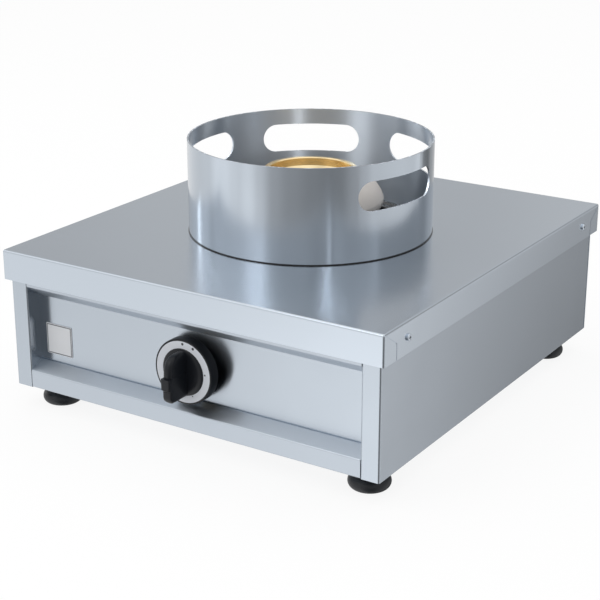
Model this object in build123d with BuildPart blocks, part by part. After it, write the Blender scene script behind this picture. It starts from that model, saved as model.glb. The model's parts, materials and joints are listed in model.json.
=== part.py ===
from build123d import *
import os
from math import cos, pi, radians, sin

# Table-top gas wok range. +Z is up and the control panel faces -Y. The origin is on the floor,
# under the middle of the overall length and width. Millimetres.

os.makedirs("parts", exist_ok=True)

# --- clearances -----------------------------------------------------------------------------
seat_gap = 0.3          # under a piece that lifts off, and beside one that moves
running_fit = 0.05      # radial, shaft in its bore
screw_fit = 0.25        # radial, screw shank in its hole
thread_chamfer = 1.0    # at the end of a stud or a threaded inlet

# --- hob plate ------------------------------------------------------------------------------
plate_width = 500.0
plate_depth = 540.0
plate_height = 192.0    # cooking surface above the floor
plate_sheet = 1.5
plate_bend = 2.5        # outside radius of the folds
apron_depth = 35.0
plate_hole_margin = 17.0    # from the ring's outside in to the hole
tab_length = 25.0       # corner tab of the front and rear aprons, seen from the side
tab_drop = 17.0         # height of the mitred end of a side apron
seam_width = 0.8
seam_depth = 0.6

# --- housing --------------------------------------------------------------------------------
body_sheet = 1.2
body_bend = 2.0
side_inset = 6.3        # housing side behind the side apron
front_inset = 5.7
rear_inset = 7.2
post_width = 22.5       # front face of a side
panel_recess = 19.3     # control panel behind the posts
upper_rail_drop = 6.0   # upper rail below the apron
upper_rail_flange = 26.0
upper_ledge_drop = 15.5     # rail's underside, down to the control panel
lower_rail_height = 21.0
ledge_rise = 11.0
lower_rail_flange = 56.0
rear_return = 18.0
stiffener_width = 30.0
stiffener_depth = 20.0
stiffener_spacing = 330.0
vent_length = 60.0
vent_width = 4.0
vent_step = 12.0
vent_rows = 5
rear_vent_drop = 75.0   # middle of the rear vents below the hob
rear_vent_spacing = 240.0
floor_vent_spacing = 285.0
floor_flange = 12.0
floor_setback = 2.4     # bottom plate behind the control panel

# --- badge plate ----------------------------------------------------------------------------
badge_width = 37.0
badge_height = 37.0
badge_sheet = 0.8
badge_from_post = 10.0  # from the left post to the plate
badge_below_hob = 106.5

# --- feet -----------------------------------------------------------------------------------
foot_height = 27.0      # housing above the floor
foot_radius = 23.4      # at the widest
foot_widest = 7.0       # widest level above the floor
foot_contact_radius = 19.5
foot_shoulder_radius = 17.0
foot_shoulder = 14.5    # top of the rounded disc
foot_neck_radius = 11.0
foot_neck_start = 16.0
foot_inset_x = 40.0     # foot centre from the plate's side edge
foot_inset_front = 45.0
foot_inset_rear = 53.0
foot_travel = 10.0
stud_radius = 4.0
stud_sink = 12.0        # stud moulded into the pad
foot_nut_height = 6.5
foot_nut_flats = 13.0

# --- wok ring -------------------------------------------------------------------------------
burner_offset = -9.0    # burner axis from the plate's middle, along Y
ring_radius = 144.0
ring_wall = 2.0
ring_height = 109.4
slot_count = 4
slot_turn = 67.0        # degrees between slot middles
slots_centre = 88.5     # degrees from +X to the middle of the set, as the loose ring stands
slot_length = 123.5     # along the ring's outside, end to end
slot_height = 34.5
slot_middle = 74.75     # above the hob

# --- burner ---------------------------------------------------------------------------------
cap_radius = 55.5
cap_wall = 6.0
cap_top = 73.0          # above the hob
cap_lip = 6.2
cap_dish_depth = 16.0
cap_floor = 4.0
cap_edge = 1.2
port_radius = 1.6
port_counts = (24, 16, 8)
port_circles = (42.0, 29.0, 15.0)
bulb_radius = 86.0
bulb_widest = 39.0      # above the hob
shoulder_radius = 74.5
shoulder_height = 57.0
belly_radius = 80.0     # where the underside starts
belly_height = 26.0
belly_bulge = 0.8       # the widest radius to the belly's arc, half way down
throat_radius = 32.0    # where the underside meets the neck
throat_height = 8.0
casting_wall = 4.0
neck_radius = 26.0
neck_fit = 0.5
flange_radius = 46.0
flange_thickness = 6.0
flange_drop = 42.0      # burner flange below the hob
mixer_drop = 82.0       # mixing tube axis below the hob
elbow_reach = 62.0      # from the burner axis to the elbow's mouth

# --- burner bracket -------------------------------------------------------------------------
bracket_half_width = 72.0
bracket_length = 84.0
bracket_foot = 22.0
bracket_sheet = 2.0

# --- mixing tube and injector ---------------------------------------------------------------
mixer_throat = 12.0
mixer_mouth = 23.0
mixer_wall = 2.5
mixer_socket = 14.0     # length that sits in the elbow
mixer_bend = 6.0
injector_entry = 6.0    # injector tip inside the mixing tube's mouth
injector_radius = 5.5
injector_length = 12.0
injector_bore = 1.2
holder_radius = 9.0
holder_length = 26.0
feed_length = 33.0      # pipe from the tap to the injector's holder
shutter_radius = 24.0
shutter_sheet = 2.0
shutter_travel = 10.0
shutter_hub = 8.0
shutter_hub_wall = 4.0
shutter_closed = 4.0    # gap that stays when the shutter is fully in

# --- drip tray ------------------------------------------------------------------------------
tray_sheet = 0.8
tray_pilot_gap = 2.5    # between the pilot and the tray
tray_lip = 6.0
tray_depth = 16.0
tray_hole_clearance = 1.5
tray_ring_clearance = 1.2
tray_proud = 0.7        # flange past the ring that stands on it
bead_rise = 3.0         # pressed bead that centres the ring
bead_crest = 2.5
bead_slope = 2.5
tray_bend = 1.6

# --- gas tap --------------------------------------------------------------------------------
knob_drop = 96.0        # knob axis below the hob
tap_width = 34.0
tap_height = 50.0
tap_length = 44.0
tap_edge = 2.0
tap_nose_radius = 10.0
tap_nose_length = 9.5
tap_nose_wall = 4.0     # front wall of the nose, which guides the spindle
panel_hole_clearance = 1.0
spindle_radius = 4.0
spindle_flat = 1.4
spindle_in_grip = 10.0
push_travel = 4.0
collar_radius = 6.5
collar_length = 3.0
plug_radius = 8.0
plug_end_radius = 6.0
plug_length = 26.0
plug_gas_way = 3.0
plug_socket = 10.0
spindle_in_plug = 5.0   # at rest, before the knob is pushed

# --- knob -----------------------------------------------------------------------------------
knob_radius = 37.5
knob_face = 1.7         # knob's front face ahead of the posts
knob_skirt = 12.5
knob_wall = 2.5
knob_edge = 0.8
knob_hub_radius = 9.0
knob_hub_clearance = 1.0    # hub to the tap's nose when pushed in
dial_outer = 35.3
dial_inner = 27.0
dial_sheet = 0.8
dome_height = 1.6
dome_slope = 4.0
grip_width = 13.0       # lower block
grip_reach = 33.0       # grip ahead of the knob's face
grip_foot = 28.2        # lower end below the knob's axis
grip_step = 2.0         # top of the flat front end above the axis
grip_end = 10.0         # bottom of the flat front end below the axis
grip_setback = 3.2      # block behind the flat front end
grip_fall = 14.0        # block's top below the axis where it meets the dial
grip_root = 1.0         # grip let into the knob's face
grip_round = 1.6
grip_foot_round = 8.0
grip_edge = 0.7
fin_width = 11.0        # upper fin
fin_foot = 31.5         # ahead of the face, where the fin leaves the block
fin_knee = (24.5, 13.0)     # ahead of the face, above the axis
fin_toe = (3.0, 25.5)
fin_round = 2.4

# --- gas supply -----------------------------------------------------------------------------
pipe_radius = 9.0
pipe_bore = 7.0
pipe_bend = 32.0
rail_drop = 34.0        # gas rail below the knob's axis
rail_end = 32.0         # rail past the tap, to the right
rail_plug_flats = 22.0
rail_plug_length = 9.0
clamp_sheet = 2.0
clamp_width = 16.0
clamp_ear = 10.0
clamp_screw_length = 9.0
inlet_from_side = 65.0  # inlet's axis from the plate's left edge
inlet_radius = 10.48    # G 1/2 thread outside
inlet_bore = 6.5
inlet_flats = 27.0
inlet_flange = 8.0
inlet_inner_length = 26.0
locknut_height = 6.0
feed_radius = 4.0
feed_nut_flats = 14.0
feed_nut_length = 9.0

# --- pilot and thermocouple -----------------------------------------------------------------
pilot_radius = 4.0
pilot_gap = 3.5         # between the burner's widest part and the pilot
pilot_tip = 42.0        # above the hob
pilot_angle = 205.0     # degrees from +X
thermocouple_radius = 3.0
thermocouple_tip = 38.0
thermocouple_angle = 217.0
pilot_sheet = 1.5
pilot_strip_width = 34.0
pilot_strip_end = 100.0
tube_radius = 2.0
tube_bend = 12.0
pilot_tube_drop = 59.0  # run under the hob
lead_drop = 51.0
pilot_port = (10.0, 9.0)    # ahead of the tap's rear by, above the knob's axis by
lead_port = (32.0, -9.0)

# --- small screws ---------------------------------------------------------------------------
screw_radius = 2.0
screw_head_radius = 3.8
screw_head_height = 2.4
screw_head_round = 1.2
screw_drop = 17.5       # apron screws below the hob
screw_from_front = 48.0
screw_from_rear = 50.0
panel_screw_length = 8.0

# --- places worked out from the sizes above -------------------------------------------------
hob = plate_height
plate_right = plate_width / 2
plate_front = -plate_depth / 2
plate_rear = plate_depth / 2
under_plate = hob - plate_sheet
side_face = plate_right - side_inset
front_face = plate_front + front_inset
rear_face = plate_rear - rear_inset
post_inner = side_face - post_width
panel_face = front_face + panel_recess
body_bottom = foot_height
floor_top = body_bottom + 2 * body_sheet
burner_y = burner_offset
knob_z = hob - knob_drop
knob_y = front_face - knob_face
grip_front = knob_y - grip_reach
rail_z = knob_z - rail_drop
mixer_z = hob - mixer_drop
flange_z = hob - flange_drop
tap_rear = panel_face + body_sheet + tap_length
tap_middle = panel_face + body_sheet + tap_length / 2
rail_y = tap_middle
inlet_end = -grip_front      # the inlet reaches as far back as the knob's grip reaches forward
elbow_mouth = burner_y - elbow_reach
mixer_end = elbow_mouth + mixer_socket
holder_start = tap_rear + feed_length
holder_end = holder_start + holder_length
injector_tip = holder_end + injector_length
mixer_start = injector_tip - injector_entry
mixer_length = mixer_end - mixer_start
shutter_face = mixer_start - shutter_closed - shutter_travel
neck_bore = neck_radius - casting_wall
burner_top = cap_top - cap_lip - seat_gap
nose_end = panel_face + body_sheet - tap_nose_length
collar_front = nose_end + tap_nose_wall + seat_gap
plug_front = collar_front + collar_length + push_travel + seat_gap
plug_rear = plug_front + plug_length
inlet_x = -plate_right + inlet_from_side
pilot_circle = bulb_radius + pilot_gap + pilot_radius   # also the thermocouple's
plate_hole_radius = ring_radius - plate_hole_margin
tray_inner_radius = pilot_circle + pilot_radius + tray_pilot_gap
tray_wall_radius = plate_hole_radius - tray_hole_clearance
bead_foot = ring_radius - ring_wall - tray_ring_clearance - tray_sheet
ring_bottom = hob + 2 * seat_gap + tray_sheet
foot_places = {
    "front_left": (-plate_right + foot_inset_x, plate_front + foot_inset_front),
    "front_right": (plate_right - foot_inset_x, plate_front + foot_inset_front),
    "rear_left": (-plate_right + foot_inset_x, plate_rear - foot_inset_rear),
    "rear_right": (plate_right - foot_inset_x, plate_rear - foot_inset_rear),
}
screw_rows = (plate_front + screw_from_front, plate_rear - screw_from_rear)
rear_screw_x = side_face - rear_return / 2
rear_screw_heights = (body_bottom + rear_return, hob - apron_depth)
burner_axis = Axis((0, burner_y, hob), (0, 0, 1))
# Upright section plane through the burner: x is the radius, y the height above the hob.
burner_section = Plane(origin=(0, burner_y, hob), x_dir=(1, 0, 0), z_dir=(0, -1, 0))


def facing_front(x, y, z):
    """Upright plane that looks to the front: its x is +X, its y is up, its normal is -Y."""
    return Plane(origin=(x, y, z), x_dir=(1, 0, 0), z_dir=(0, -1, 0))


def facing_right(x, y, z):
    """Upright plane that looks to the right: its x is +Y, its y is up, its normal is +X."""
    return Plane(origin=(x, y, z), x_dir=(0, 1, 0), z_dir=(1, 0, 0))


def folded_sheet(plane, points, bend, sheet, width):
    """Sheet of one thickness folded along points, laid to their left, half the width each way."""
    with BuildPart() as folded:
        with BuildSketch(plane):
            with BuildLine() as fold:
                FilletPolyline(*points, radius=bend)
                offset(fold.line, amount=sheet, side=Side.LEFT)
            make_face()
        extrude(amount=width / 2, both=True)
    return folded.part


def bent_tube(points, radius, bore, bend):
    """Tube along straight runs joined by arcs. A bore of 0 makes it a rod."""
    with BuildPart() as tube:
        with BuildLine() as route:
            FilletPolyline(*points, radius=bend)
        with BuildSketch(Plane(origin=route.line @ 0, z_dir=route.line % 0)):
            Circle(radius)
            if bore:
                Circle(bore, mode=Mode.SUBTRACT)
        sweep(path=route.line)
    return tube.part


def turned(plane, points, axis):
    """Solid of revolution from a closed outline of straight edges."""
    with BuildPart() as spun:
        with BuildSketch(plane):
            with BuildLine():
                Polyline(*points, close=True)
            make_face()
        revolve(axis=axis)
    return spun.part


def on_circle(radius, angle, height):
    """Point round the burner axis, the angle in degrees from +X."""
    return (radius * cos(radians(angle)), burner_y + radius * sin(radians(angle)), height)


def pan_head_screw(plane, length):
    """Pan-head screw with its seat on the plane and its head along the plane's normal."""
    with BuildPart() as screw:
        with BuildSketch(plane):
            Circle(screw_head_radius)
        extrude(amount=screw_head_height)
        fillet(screw.faces().sort_by(Axis(plane.origin, plane.z_dir))[-1].edges(), radius=screw_head_round)
        with BuildSketch(plane):
            Circle(screw_radius)
        extrude(amount=-length)
    return screw.part


def hex_ring(plane, flats, height, bore):
    """Hexagon nut standing on the plane."""
    with BuildPart() as nut:
        with BuildSketch(plane):
            RegularPolygon(flats / 2, 6, major_radius=False)
            Circle(bore, mode=Mode.SUBTRACT)
        extrude(amount=height)
    return nut.part


def save(piece, name):
    piece.label = name
    export_step(piece, f"parts/{name}.step")


# --- hob plate ------------------------------------------------------------------------------
with BuildPart() as top_plate:
    with BuildSketch(Plane.XY.offset(hob)):
        Rectangle(plate_width, plate_depth)
    extrude(amount=-apron_depth)
    fillet(top_plate.edges().filter_by(Axis.Z), radius=plate_bend)
    fillet(top_plate.faces().sort_by(Axis.Z)[-1].edges(), radius=plate_bend)
    offset(amount=-plate_sheet, openings=top_plate.faces().sort_by(Axis.Z)[0])
    with BuildSketch(Plane((0, burner_y, hob))):
        Circle(plate_hole_radius)
    extrude(amount=-plate_sheet, mode=Mode.SUBTRACT)
    # seams between the side aprons and the corner tabs, cut along each mitre
    for side in (-1, 1):
        for end in (-1, 1):
            with BuildSketch(facing_right(side * plate_right, end * plate_rear, hob)):
                with BuildLine():
                    Polyline((-end * plate_bend / 2, -plate_bend / 2),
                             (-end * tab_length, -tab_drop),
                             (-end * tab_length, -apron_depth))
                trace(line_width=seam_width)
            extrude(amount=-side * seam_depth, mode=Mode.SUBTRACT)
    for side in (-1, 1):
        with BuildSketch(facing_right(side * plate_right, 0, hob - screw_drop)):
            with Locations(*[(row, 0) for row in screw_rows]):
                Circle(screw_radius + screw_fit)
        extrude(amount=-side * plate_sheet, mode=Mode.SUBTRACT)
save(top_plate.part, "top_plate")

# screws and spacers between the side aprons and the housing
with BuildPart() as apron_screws:
    for side in (-1, 1):
        for row in screw_rows:
            seat = Plane(origin=(side * plate_right, row, hob - screw_drop), z_dir=(side, 0, 0))
            add(pan_head_screw(seat, side_inset + body_sheet + 2 * screw_radius))
save(apron_screws.part, "apron_screws")

with BuildPart() as apron_spacers:
    for side in (-1, 1):
        with BuildSketch(facing_right(side * side_face, 0, hob - screw_drop)):
            with Locations(*[(row, 0) for row in screw_rows]):
                Circle(screw_head_radius)
                Circle(screw_radius + screw_fit, mode=Mode.SUBTRACT)
        extrude(amount=side * (side_inset - plate_sheet))
save(apron_spacers.part, "apron_spacers")

# --- housing --------------------------------------------------------------------------------
# each side: return to the control panel, front post, wall, rear return
for side, name in ((-1, "left_side"), (1, "right_side")):
    wall = [(side * post_inner, panel_face), (side * post_inner, front_face),
            (side * side_face, front_face), (side * side_face, rear_face - body_sheet),
            (side * (side_face - rear_return), rear_face - body_sheet)]
    with BuildPart() as side_panel:
        with BuildSketch(Plane.XY.offset(body_bottom)):
            with BuildLine() as fold:
                FilletPolyline(*wall, radius=body_bend)
                offset(fold.line, amount=body_sheet, side=Side.LEFT if side > 0 else Side.RIGHT)
            make_face()
        extrude(amount=under_plate - body_bottom)
        with BuildSketch(facing_right(side * side_face, 0, hob - screw_drop)):
            with Locations(*[(row, 0) for row in screw_rows]):
                Circle(screw_radius + screw_fit)
        extrude(amount=-side * body_sheet, mode=Mode.SUBTRACT)
        with BuildSketch(facing_front(0, rear_face, 0)):
            with Locations(*[(side * rear_screw_x, height) for height in rear_screw_heights]):
                Circle(screw_radius + screw_fit)
        extrude(amount=2 * body_sheet, mode=Mode.SUBTRACT)
    save(side_panel.part, name)

# rail under the apron: top flange, narrow face, sloping underside, lip against the panel
upper_rail_bottom = hob - apron_depth - upper_rail_drop
front_upper_rail = folded_sheet(
    facing_right(0, 0, 0),
    [(front_face + upper_rail_flange, under_plate), (front_face, under_plate),
     (front_face, upper_rail_bottom), (panel_face, upper_rail_bottom - upper_ledge_drop),
     (panel_face, upper_rail_bottom)],
    body_bend, body_sheet, 2 * post_inner)
save(front_upper_rail, "front_upper_rail")

# lower rail: lip against the panel, sloping ledge, face, bottom flange with the front stud holes
ledge_front = body_bottom + lower_rail_height
ledge_rear = ledge_front + ledge_rise
with BuildPart() as front_lower_rail:
    add(folded_sheet(
        facing_right(0, 0, 0),
        [(panel_face, ledge_front), (panel_face, ledge_rear), (front_face, ledge_front),
         (front_face, body_bottom), (front_face + lower_rail_flange, body_bottom)],
        body_bend, body_sheet, 2 * post_inner))
    with BuildSketch(Plane.XY.offset(body_bottom)):
        with Locations(foot_places["front_left"], foot_places["front_right"]):
            Circle(stud_radius + screw_fit)
    extrude(amount=body_sheet, mode=Mode.SUBTRACT)
save(front_lower_rail.part, "front_lower_rail")

# control panel, behind the posts and both rails
with BuildPart() as control_panel:
    panel_bottom = ledge_front - lower_rail_height / 2
    panel_top = hob - apron_depth / 2
    with BuildSketch(facing_front(0, panel_face + body_sheet, (panel_bottom + panel_top) / 2)):
        Rectangle(2 * (post_inner + post_width / 2), panel_top - panel_bottom)
    extrude(amount=body_sheet)
    with BuildSketch(facing_front(0, panel_face + body_sheet, knob_z)):
        Circle(tap_nose_radius + panel_hole_clearance)
    extrude(amount=body_sheet, mode=Mode.SUBTRACT)
save(control_panel.part, "control_panel")

badge_x = -post_inner + badge_from_post + badge_width / 2
with BuildPart() as badge_plate:
    with BuildSketch(facing_front(badge_x, panel_face, hob - badge_below_hob)):
        RectangleRounded(badge_width, badge_height, badge_sheet)
    extrude(amount=badge_sheet)
save(badge_plate.part, "badge_plate")

# bottom plate: three upturned edges, air slots and stud holes
floor_rear = rear_face - 2 * body_sheet
floor_front = panel_face + body_sheet + floor_setback
with BuildPart() as bottom_plate:
    with BuildSketch(Plane((0, (floor_front + floor_rear) / 2, body_bottom + body_sheet))):
        Rectangle(2 * (side_face - body_sheet), floor_rear - floor_front)
    extrude(amount=floor_flange)
    fillet(bottom_plate.edges().filter_by(Axis.Z).group_by(Axis.Y)[-1], radius=body_bend)
    offset(amount=-body_sheet, openings=[bottom_plate.faces().sort_by(Axis.Z)[-1],
                                         bottom_plate.faces().sort_by(Axis.Y)[0]])
    with BuildSketch(Plane.XY.offset(body_bottom + body_sheet)):
        with Locations(*foot_places.values()):
            Circle(stud_radius + screw_fit)
        for side in (-1, 1):
            with Locations((side * floor_vent_spacing / 2, burner_y)):
                with GridLocations(0, vent_step, 1, vent_rows):
                    SlotOverall(vent_length, vent_width)
    extrude(amount=body_sheet, mode=Mode.SUBTRACT)
save(bottom_plate.part, "bottom_plate")

# rear panel: vents, gas inlet hole and corner screws
with BuildPart() as rear_panel:
    with BuildSketch(facing_front(0, rear_face, (body_bottom + under_plate) / 2)):
        Rectangle(2 * side_face, under_plate - body_bottom)
    extrude(amount=body_sheet)
    with BuildSketch(facing_front(0, rear_face, 0)):
        for side in (-1, 1):
            with Locations((side * rear_vent_spacing / 2, hob - rear_vent_drop)):
                with GridLocations(0, vent_step, 1, vent_rows):
                    SlotOverall(vent_length, vent_width)
            with Locations(*[(side * rear_screw_x, height) for height in rear_screw_heights]):
                Circle(screw_radius + screw_fit)
        with Locations((inlet_x, rail_z)):
            Circle(inlet_radius + screw_fit)
    extrude(amount=body_sheet, mode=Mode.SUBTRACT)
save(rear_panel.part, "rear_panel")

with BuildPart() as rear_screws:
    for side in (-1, 1):
        for height in rear_screw_heights:
            seat = Plane(origin=(side * rear_screw_x, rear_face, height), z_dir=(0, 1, 0))
            add(pan_head_screw(seat, panel_screw_length))
save(rear_screws.part, "rear_screws")

# hat channels under the hob, before and behind the burner
hat_edge = stiffener_width / 2
hat_flange = hat_edge + stiffener_width / 3
with BuildPart() as plate_stiffeners:
    for end in (-1, 1):
        add(folded_sheet(
            facing_right(0, burner_y + end * stiffener_spacing / 2, under_plate - body_sheet),
            [(-hat_flange, 0), (-hat_edge, 0), (-hat_edge, -stiffener_depth),
             (hat_edge, -stiffener_depth), (hat_edge, 0), (hat_flange, 0)],
            body_bend, body_sheet, 2 * (side_face - body_sheet)))
save(plate_stiffeners.part, "plate_stiffeners")

# --- feet -----------------------------------------------------------------------------------
pad_top = foot_height - seat_gap
for place, (x, y) in foot_places.items():
    with BuildPart() as foot_pad:
        with BuildSketch(facing_front(x, y, 0)):
            with BuildLine():
                Line((0, 0), (foot_contact_radius, 0))
                ThreePointArc((foot_contact_radius, 0), (foot_radius, foot_widest),
                              (foot_shoulder_radius, foot_shoulder))
                Polyline((foot_shoulder_radius, foot_shoulder), (foot_neck_radius, foot_neck_start),
                         (foot_neck_radius, pad_top), (0, pad_top), (0, 0))
            make_face()
        revolve(axis=Axis((x, y, 0), (0, 0, 1)))
        with BuildSketch(Plane((x, y, pad_top))):
            Circle(stud_radius)
        extrude(amount=-stud_sink, mode=Mode.SUBTRACT)
    save(foot_pad.part, f"foot_pad_{place}")

    with BuildPart() as foot_stud:
        with BuildSketch(Plane((x, y, pad_top - stud_sink))):
            Circle(stud_radius)
        extrude(amount=floor_top + foot_nut_height + foot_travel + stud_radius - pad_top + stud_sink)
        chamfer(foot_stud.faces().sort_by(Axis.Z)[-1].edges(), length=thread_chamfer)
    save(foot_stud.part, f"foot_stud_{place}")

with BuildPart() as foot_nuts:
    for x, y in foot_places.values():
        add(hex_ring(Plane((x, y, floor_top)), foot_nut_flats, foot_nut_height, stud_radius + running_fit))
save(foot_nuts.part, "foot_nuts")

# --- wok ring: rolled strip with four long slots, closed at the front ------------------------
end_radius = slot_height / 2
slot_straight = (slot_length - slot_height) / ring_radius * 180 / pi   # between the end circles
with BuildPart() as wok_ring:
    with BuildSketch(Plane((0, burner_y, ring_bottom))):
        Circle(ring_radius)
        Circle(ring_radius - ring_wall, mode=Mode.SUBTRACT)
    extrude(amount=ring_height)
    for index in range(slot_count):
        first = slots_centre + (index - (slot_count - 1) / 2) * slot_turn - slot_straight / 2
        start = radians(first)
        upright = Plane(origin=(0, burner_y, hob + slot_middle), x_dir=(cos(start), sin(start), 0),
                        z_dir=(sin(start), -cos(start), 0))
        with BuildSketch(upright):
            with Locations((ring_radius, 0)):
                Rectangle(4 * ring_wall, slot_height)
        revolve(axis=burner_axis, revolution_arc=slot_straight, mode=Mode.SUBTRACT)
        for angle in (first, first + slot_straight):
            outward = (cos(radians(angle)), sin(radians(angle)), 0)
            with BuildSketch(Plane(origin=(0, burner_y, hob + slot_middle), z_dir=outward)):
                Circle(end_radius)
            extrude(amount=2 * ring_radius, mode=Mode.SUBTRACT)
save(wok_ring.part, "wok_ring")

# --- drip tray: trough in the plate's hole, flange on the plate, bead inside the ring --------
with BuildPart() as drip_tray:
    with BuildSketch(burner_section):
        with BuildLine() as trough:
            FilletPolyline((tray_inner_radius, tray_lip), (tray_inner_radius, -tray_depth),
                           (tray_wall_radius, -tray_depth), (tray_wall_radius, seat_gap),
                           (bead_foot - bead_crest - 2 * bead_slope, seat_gap),
                           (bead_foot - bead_crest - bead_slope, seat_gap + bead_rise),
                           (bead_foot - bead_slope, seat_gap + bead_rise), (bead_foot, seat_gap),
                           (ring_radius + tray_proud, seat_gap), radius=tray_bend)
            offset(trough.line, amount=tray_sheet, side=Side.LEFT)
        make_face()
    revolve(axis=burner_axis)
save(drip_tray.part, "drip_tray")

# --- burner ---------------------------------------------------------------------------------
def burner_half(inset):
    """Half section of the burner casting; an inset gives its gas space."""
    with BuildSketch(burner_section) as half:
        with BuildLine():
            Line((0, burner_top), (cap_radius - inset, burner_top))
            ThreePointArc((cap_radius - inset, burner_top),
                          (shoulder_radius - inset, shoulder_height - inset / 2),
                          (bulb_radius - inset, bulb_widest))
            ThreePointArc((bulb_radius - inset, bulb_widest),
                          (bulb_radius - belly_bulge - inset, (bulb_widest + belly_height) / 2),
                          (belly_radius - inset, belly_height + inset))
            Polyline((belly_radius - inset, belly_height + inset),
                     (throat_radius - inset, throat_height + inset),
                     (neck_radius - inset, throat_height + inset - (throat_radius - neck_radius)),
                     (neck_radius - inset, -mixer_drop), (0, -mixer_drop), (0, burner_top))
        make_face()
    return half.sketch


bolt_circle = (neck_radius + flange_radius) / 2
strip_angle = (pilot_angle + thermocouple_angle) / 2
bolt_angles = [strip_angle + turn for turn in (90, 180, 270)]
bolt_places = [(bolt_circle * cos(radians(angle)), bolt_circle * sin(radians(angle)))
               for angle in bolt_angles]
with BuildPart() as burner_body:
    revolve(burner_half(0), axis=burner_axis)
    with BuildSketch(Plane((0, burner_y, flange_z))):
        Circle(flange_radius)
    extrude(amount=flange_thickness)
    with Locations((0, burner_y, mixer_z)):
        Sphere(neck_radius)
    with BuildSketch(facing_front(0, burner_y, mixer_z)):
        Circle(neck_radius)
    extrude(amount=elbow_reach)
    revolve(burner_half(casting_wall), axis=burner_axis, mode=Mode.SUBTRACT)
    with Locations((0, burner_y, mixer_z)):
        Sphere(neck_bore, mode=Mode.SUBTRACT)
    with BuildSketch(facing_front(0, burner_y, mixer_z)):
        Circle(neck_bore)
    extrude(amount=elbow_reach, mode=Mode.SUBTRACT)
    with BuildSketch(Plane((0, burner_y, flange_z))):
        with Locations(*bolt_places):
            Circle(screw_radius + screw_fit)
    extrude(amount=flange_thickness, mode=Mode.SUBTRACT)
save(burner_body.part, "burner_body")

# brass crown: rim, dished floor with three rings of ports, spigot in the casting
spigot_radius = cap_radius - casting_wall - seat_gap
dish_radius = cap_radius - cap_wall
dish_floor = cap_top - cap_dish_depth
with BuildPart() as burner_cap:
    add(turned(burner_section,
               [(0, dish_floor - cap_floor), (0, dish_floor), (dish_radius - cap_wall, dish_floor),
                (dish_radius, dish_floor + cap_wall), (dish_radius, cap_top - cap_edge),
                (dish_radius + cap_edge, cap_top), (cap_radius - cap_edge, cap_top),
                (cap_radius, cap_top - cap_edge), (cap_radius, cap_top - cap_lip),
                (spigot_radius, cap_top - cap_lip), (spigot_radius, dish_floor - cap_floor)],
               burner_axis))
    with BuildSketch(Plane((0, burner_y, hob + dish_floor))):
        for ports, circle in zip(port_counts, port_circles):
            with PolarLocations(circle, ports):
                Circle(port_radius)
    extrude(amount=-cap_floor, mode=Mode.SUBTRACT)
save(burner_cap.part, "burner_cap")

# bridge that carries the burner flange over the mixing tube
with BuildPart() as burner_bracket:
    add(folded_sheet(
        facing_front(0, burner_y, 0),
        [(-bracket_half_width - bracket_foot, floor_top), (-bracket_half_width, floor_top),
         (-bracket_half_width, flange_z - bracket_sheet), (bracket_half_width, flange_z - bracket_sheet),
         (bracket_half_width, floor_top), (bracket_half_width + bracket_foot, floor_top)],
        2 * bracket_sheet, bracket_sheet, bracket_length))
    with BuildSketch(Plane((0, burner_y, flange_z))):
        Circle(neck_radius + neck_fit)
        with Locations(*bolt_places):
            Circle(screw_radius + screw_fit)
    extrude(amount=-bracket_sheet, mode=Mode.SUBTRACT)
save(burner_bracket.part, "burner_bracket")

with BuildPart() as burner_bolts:
    for x, y in bolt_places:
        add(pan_head_screw(Plane((x, burner_y + y, flange_z + flange_thickness)),
                           flange_thickness + bracket_sheet + 2 * screw_radius))
save(burner_bolts.part, "burner_bolts")

# --- mixing tube, injector and air shutter, on one axis along Y ------------------------------
mixer_axis = Axis((0, 0, mixer_z), (0, 1, 0))
mixer_section = facing_right(0, 0, mixer_z)     # x is Y, y is the radius
mixer_bore = neck_bore - mixer_wall - running_fit
mixer_cone = (mixer_length - mixer_socket) / 4
with BuildPart() as mixing_tube:
    with BuildSketch(mixer_section):
        with BuildLine() as venturi:
            FilletPolyline((mixer_start, mixer_mouth), (mixer_start + mixer_cone, mixer_throat),
                           (mixer_start + 2 * mixer_cone, mixer_throat),
                           (elbow_mouth, mixer_bore), (mixer_end, mixer_bore), radius=mixer_bend)
            offset(venturi.line, amount=mixer_wall, side=Side.LEFT)
        make_face()
    revolve(axis=mixer_axis)
save(mixing_tube.part, "mixing_tube")

injector = turned(mixer_section,
                  [(holder_end, injector_bore), (injector_tip, injector_bore),
                   (injector_tip, injector_radius / 2), (injector_tip - injector_radius, injector_radius),
                   (holder_end, injector_radius)], mixer_axis)
save(injector, "injector")

injector_holder = turned(mixer_section,
                         [(holder_start, feed_radius / 2), (holder_end, feed_radius / 2),
                          (holder_end, holder_radius), (holder_start, holder_radius)], mixer_axis)
save(injector_holder, "injector_holder")

hub_bore = holder_radius + running_fit
air_shutter = turned(mixer_section,
                     [(shutter_face, hub_bore), (shutter_face, shutter_radius),
                      (shutter_face - shutter_sheet, shutter_radius),
                      (shutter_face - shutter_sheet, hub_bore + shutter_hub_wall),
                      (shutter_face - shutter_hub, hub_bore + shutter_hub_wall),
                      (shutter_face - shutter_hub, hub_bore)], mixer_axis)
save(air_shutter, "air_shutter")

feed_pipe = turned(mixer_section,
                   [(tap_rear, feed_radius / 2), (holder_start, feed_radius / 2),
                    (holder_start, feed_radius), (tap_rear, feed_radius)], mixer_axis)
save(feed_pipe, "feed_pipe")

with BuildPart() as feed_nuts:
    for y in (tap_rear, holder_start - feed_nut_length):
        add(hex_ring(Plane(origin=(0, y, mixer_z), z_dir=(0, 1, 0)), feed_nut_flats, feed_nut_length,
                     feed_radius))
save(feed_nuts.part, "feed_nuts")

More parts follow.
